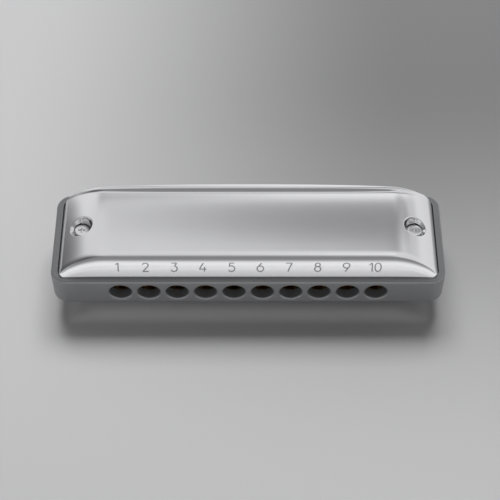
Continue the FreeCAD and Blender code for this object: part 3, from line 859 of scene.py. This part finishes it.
def screw_cup(press, side):
    """One screw cup: a round rim in the skin, a wall, a flat floor and its screw hole."""
    look = press.look
    low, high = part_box("cover_screw_right")
    x, y = side * (low.x + high.x) / 2 / MM, (low.y + high.y) / 2 / MM
    floor = press.rim + CUP_FLOOR_RISE
    radius, soft, sheet = look.cup_radius, look.cup_rounding, look.sheet
    top = press.height(x, y)
    rim = [(radius + soft * (1 - math.sin(angle)), top - soft * (1 - math.cos(angle)))
           for angle in quarter(CUP_RIM_STEPS)]
    turn, foot = look.cup_fillet, radius - look.cup_taper
    inner = [(foot - turn * (1 - math.cos(angle)), floor + turn * (1 - math.sin(angle)))
             for angle in quarter(CUP_FILLET_STEPS)]
    hole = SCREW_HOLE_RADIUS
    outer = radius + sheet
    cone = (foot, top - look.cup_cone)
    under = [(hole + SCREW_HOLE_EDGE, floor), (hole, floor - SCREW_HOLE_EDGE),
             (hole, floor - sheet), (outer - CUP_CORNER, floor - sheet),
             (outer, floor - sheet + CUP_CORNER), (outer, top - sheet / 2),
             (radius + soft, top - sheet / 2)]
    profile = rim + [cone] + inner + under
    piece = turned((x, y), profile + [rim[0]], CUP_SIDES)
    lips = (*range(len(rim)), *range(len(profile) - 2, len(profile) + 1))
    bpy.ops.object.mode_set(mode="OBJECT")
    sides = len(piece.data.vertices) // (len(profile) + 1)
    for index, vertex in enumerate(piece.data.vertices):
        ring = index // sides
        share = 1.0 if ring in lips else CONE_TILT if ring == len(rim) else 0.0
        spot = vertex.co / MM
        vertex.co.z += (press.height(spot.x, spot.y) - top) * share * MM
    bpy.ops.object.mode_set(mode="EDIT")
    close_loop()
    return piece


def cut_away(piece, cutter, solver="EXACT"):
    """Cuts the cutter's space out of the piece."""
    apply_modifier(piece, "BOOLEAN", operation="DIFFERENCE", solver=solver, object=cutter)
    bpy.data.objects.remove(cutter)


def cut_cups(piece, press):
    """Cuts the two round openings for the cups through the sheet."""
    low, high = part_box("cover_screw_right")
    radius = press.look.cup_radius + press.look.cup_rounding
    for side in (-1.0, 1.0):
        place = (side * (low.x + high.x) / 2, (low.y + high.y) / 2,
                 press.rim * MM + CUTTER_HEIGHT / 2 * MM)
        bpy.ops.mesh.primitive_cylinder_add(vertices=CUP_SIDES, radius=radius * MM,
                                            depth=CUTTER_HEIGHT * MM, location=place)
        cut_away(piece, bpy.context.object, "MANIFOLD")


def joined(pieces):
    """The pieces as one."""
    bpy.ops.object.select_all(action="DESELECT")
    for piece in pieces:
        piece.select_set(True)
    bpy.context.view_layer.objects.active = pieces[0]
    bpy.ops.object.join()
    return pieces[0]


class HARMONICA_OT_covers(Operator):
    """Presses the upper cover from sheet, turns over a copy for the lower one."""
    bl_idname = "harmonica.covers"
    bl_label = "Covers"

    def execute(self, context):
        look = context.scene.harmonica_cover
        press = Pressing(look)
        sheet = pressed_sheet(press)
        cut_cups(sheet, press)
        upper = joined([sheet, screw_cup(press, -1.0), screw_cup(press, 1.0)])
        lower = upper.copy()
        lower.data = upper.data.copy()
        context.scene.collection.objects.link(lower)
        start_editing(lower)
        bpy.ops.mesh.select_all(action="SELECT")
        middle = (0.0, 0.0, CAD_BOX[1][2] / 2)
        bpy.ops.transform.resize(value=(1.0, 1.0, -1.0), center_override=middle)
        end_editing()
        material = polished_steel("cover_polish", look)
        for piece, name in ((upper, "upper_cover"), (lower, "lower_cover")):
            smooth(piece)
            settle(piece, f"{name}_pressing", material, "cover_steel", name)
        return {"FINISHED"}


def arc(middle, wide, tall, start, end, count=ARC_STEPS):
    """Points along an oval's arc, in shares of a number's height, with angles in degrees."""
    angles = [math.radians(start + (end - start) * k / count) for k in range(count + 1)]
    return [(middle[0] + wide * math.cos(angle), middle[1] + tall * math.sin(angle))
            for angle in angles]


def oval(middle, wide, tall, count=OVAL_STEPS):
    """Points all round an oval."""
    return arc(middle, wide, tall, 0.0, 2 * HALF_TURN, count)


def number_strokes():
    """The strokes of each digit, in shares of its height, and each digit's width."""
    return {
        "1": (0.3, [[(0.02, 0.8), (0.28, 1.0), (0.28, 0.0)]]),
        "2": (0.6, [arc((0.29, 0.71), 0.27, 0.29, 165.0, -35.0) + [(0.03, 0.0), (0.6, 0.0)]]),
        "3": (0.6, [[(0.05, 1.0), (0.55, 1.0)] + arc((0.28, 0.31), 0.31, 0.31, 80.0, -155.0)]),
        "4": (0.64, [[(0.36, 1.0), (0.0, 0.26), (0.64, 0.26)], [(0.47, 0.5), (0.47, 0.0)]]),
        "5": (0.6, [[(0.55, 1.0), (0.13, 1.0)] + arc((0.28, 0.32), 0.31, 0.32, 128.0, -150.0)]),
        "6": (0.62, [oval((0.31, 0.31), 0.31, 0.31), [(0.05, 0.46), (0.42, 1.0)]]),
        "7": (0.58, [[(0.0, 1.0), (0.58, 1.0), (0.19, 0.0)]]),
        "8": (0.6, [oval((0.3, 0.77), 0.23, 0.23, 22), oval((0.3, 0.28), 0.29, 0.28)]),
        "9": (0.62, [oval((0.31, 0.69), 0.31, 0.31), [(0.57, 0.54), (0.2, 0.0)]]),
        "0": (0.58, [oval((0.29, 0.5), 0.29, 0.5, 26)]),
    }


def stepped(line):
    """The line with points added along its straight runs, so that it can follow the slope."""
    points = [line[0]]
    for (x, y), (next_x, next_y) in zip(line, line[1:]):
        count = max(1, round(math.dist((x, y), (next_x, next_y)) / STROKE_STEP))
        points += [(x + (next_x - x) * k / count, y + (next_y - y) * k / count)
                   for k in range(1, count + 1)]
    return points


def number_curve(index, look):
    """The strokes of one hole's number as a curve, standing on its base line."""
    drawn = number_strokes()
    strokes, width = [], 0.0
    for digit in str(index + 1):
        wide, lines = drawn[digit]
        strokes += [[(x + width, y) for x, y in line] for line in lines]
        width += wide + DIGIT_GAP
    width -= DIGIT_GAP
    curve = bpy.data.curves.new("number", "CURVE")
    curve.dimensions = "3D"
    curve.bevel_depth = look.number_stroke / 2 * MM
    curve.bevel_resolution = STROKE_ROUNDING_STEPS
    curve.use_fill_caps = True
    for stroke in strokes:
        closed = math.dist(stroke[0], stroke[-1]) < CLOSED_GAP
        points = stroke[:-1] if closed else stepped(stroke)
        spline = curve.splines.new("POLY")
        spline.points.add(len(points) - 1)
        for point, (x, y) in zip(spline.points, points):
            place = ((x - width / 2) * look.number_height * MM, y * look.number_height * MM)
            point.co = (*place, 0.0, 1.0)
        spline.use_cyclic_u = closed
    return curve


class HARMONICA_OT_numbers(Operator):
    """Marks the holes' numbers on the upper cover's front slope."""
    bl_idname = "harmonica.numbers"
    bl_label = "Numbers"

    def execute(self, context):
        look = context.scene.harmonica_cover
        press = Pressing(look)
        pieces = []
        for index in range(HOLE_COUNT):
            piece = bpy.data.objects.new("number", number_curve(index, look))
            context.scene.collection.objects.link(piece)
            pick(piece)
            bpy.ops.object.convert(target="MESH")
            middle = HOLE_PITCH * (index - (HOLE_COUNT - 1) / 2) + NUMBER_SHIFT
            self.lay(piece, press, middle)
            pieces.append(piece)
        marks = joined(pieces)
        smooth(marks, NUMBER_SMOOTH_ANGLE)
        settle(marks, "hole_numbers", number_marking("number_marking", look), "cover_steel")
        return {"FINISHED"}

    def lay(self, piece, press, middle):
        """Lays the flattened strokes on the slope, a hair proud of it."""
        for vertex in piece.data.vertices:
            x, up, thick = (value / MM for value in vertex.co)
            y = press.front + NUMBER_FOOT + up * math.cos(press.look.slope)
            x += middle
            across = math.radians(QUARTER_TURN) - press.look.slope
            proud = NUMBER_PROUD * (thick / (press.look.number_stroke / 2))
            z = press.height(x, y)
            vertex.co = (x * MM, (y - proud * math.cos(across)) * MM,
                         (z + proud * math.sin(across)) * MM)


class HARMONICA_OT_reeds(Operator):
    """Gives the plates, reeds and rivets their brass and bronze, with painted shade past the
    plates' edges.
    """
    bl_idname = "harmonica.reeds"
    bl_label = "Reeds and plates"

    def execute(self, context):
        plate = warm_metal("plate_brass_edge_shade", *PLATE_BRASS, PLATE_GRAIN, PLATE_SHADE_REACH)
        dress(plate, "upper_reed_plate", "lower_reed_plate")
        bronze = warm_metal("reed_bronze", *REED_BRONZE, REED_GRAIN)
        rivet = warm_metal("rivet_brass", *RIVET_BRASS)
        numbers = [f"{number:02d}" for number in range(1, HOLE_COUNT + 1)]
        for kind in ("blow", "draw"):
            dress(bronze, f"{kind}_reed_roots", *[f"{kind}_reed_{n}" for n in numbers])
            dress(rivet, f"{kind}_reed_rivets")
        return {"FINISHED"}


def cross_cutters(place, top, look):
    """The two tapered bars of a cross recess, ready to cut with; place is its middle in mm."""
    bars = []
    for long, wide in ((look.cross_length, look.cross_width),
                       (look.cross_width, look.cross_length)):
        bpy.ops.mesh.primitive_cube_add(size=MM, scale=(long, wide, 2 * look.cross_depth),
                                        location=(place[0] * MM, place[1] * MM, top * MM))
        bar = bpy.context.object
        bpy.ops.object.transform_apply(location=True, rotation=True, scale=True)
        start_editing(bar)
        select_edges(bar, lambda edge: max(vertex.co.z for vertex in edge.verts) < top * MM)
        shares = CROSS_TAPER if long > wide else reversed(CROSS_TAPER)
        bpy.ops.transform.resize(value=(*shares, 1.0),
                                 center_override=(place[0] * MM, place[1] * MM, 0.0))
        bpy.ops.object.mode_set(mode="OBJECT")
        bars.append(bar)
    return bars


class HARMONICA_OT_screws(Operator):
    """Turns the two cover screws with their cross recesses, and plates screws and nuts."""
    bl_idname = "harmonica.screws"
    bl_label = "Screws and nuts"

    def execute(self, context):
        look = context.scene.harmonica_screw
        nickel = warm_metal("nickel_plate", look.colour, look.roughness)
        for node in ("cover_screw_left", "cover_screw_right"):
            settle(self.turn_screw(node, look), f"{node}_turned", nickel, "screw_steel", node)
        dress(nickel, "cover_nut_left", "cover_nut_right")
        dress(warm_metal("screw_brass", *SCREW_BRASS), "reed_plate_screws")
        return {"FINISHED"}

    def turn_screw(self, node, look):
        """A screw turned as one piece, its cross cut in and its edges softened."""
        low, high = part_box(node)
        x, y = (low.x + high.x) / 2 / MM, (low.y + high.y) / 2 / MM
        end, top = low.z / MM, high.z / MM
        seat, head, shank = top - look.head_height, (high.x - low.x) / 2 / MM, look.shank_radius
        soft = look.head_rounding
        profile = [(radius, top - fall) for radius, fall in HEAD_FACE]
        profile += [(head - soft * (1 - math.sin(angle)),
                     top - HEAD_FALL - soft * (1 - math.cos(angle)))
                    for angle in quarter(HEAD_EDGE_STEPS)]
        profile += [(head, seat + HEAD_CHAMFER), (head - HEAD_CHAMFER, seat), (shank, seat),
                    (shank, end + SHANK_CHAMFER), (shank - SHANK_CHAMFER, end),
                    (AXIS_RADIUS, end)]
        piece = turned((x, y), profile, SCREW_SIDES)
        bpy.ops.mesh.select_all(action="SELECT")
        bpy.ops.mesh.fill_holes(sides=0)
        end_editing()
        for bar in cross_cutters((x, y), top, look):
            cut_away(piece, bar)
        bevel(piece, SCREW_EDGE, SCREW_EDGE_ANGLE)
        smooth(piece)
        return piece


OPERATORS = (HARMONICA_OT_stage, HARMONICA_OT_comb, HARMONICA_OT_covers, HARMONICA_OT_numbers,
             HARMONICA_OT_reeds, HARMONICA_OT_screws)
SETTINGS = {"harmonica_stage": StageSettings, "harmonica_cover": CoverSettings,
            "harmonica_comb": CombSettings, "harmonica_screw": ScrewSettings}


class HARMONICA_PT_panel(Panel):
    """The harmonica's sizes and colours, and the steps that make it."""
    bl_idname = "HARMONICA_PT_panel"
    bl_label = "Harmonica"
    bl_space_type = "VIEW_3D"
    bl_region_type = "UI"
    bl_category = "Harmonica"

    def draw(self, context):
        for pointer, group in SETTINGS.items():
            box = self.layout.box()
            for name in group.__annotations__:
                box.prop(getattr(context.scene, pointer), name)
        for operator in OPERATORS:
            self.layout.operator(operator.bl_idname)


def register():
    for group in (*SETTINGS.values(), *OPERATORS, HARMONICA_PT_panel):
        bpy.utils.register_class(group)
    for pointer, group in SETTINGS.items():
        setattr(bpy.types.Scene, pointer, PointerProperty(type=group))


def unregister():
    for pointer in SETTINGS:
        delattr(bpy.types.Scene, pointer)
    for group in reversed((*SETTINGS.values(), *OPERATORS, HARMONICA_PT_panel)):
        bpy.utils.unregister_class(group)


def main():
    register()
    bpy.ops.harmonica.stage()
    bpy.ops.harmonica.comb()
    bpy.ops.harmonica.covers()
    bpy.ops.harmonica.numbers()
    bpy.ops.harmonica.reeds()
    bpy.ops.harmonica.screws()


if __name__ == "__main__":
    main()
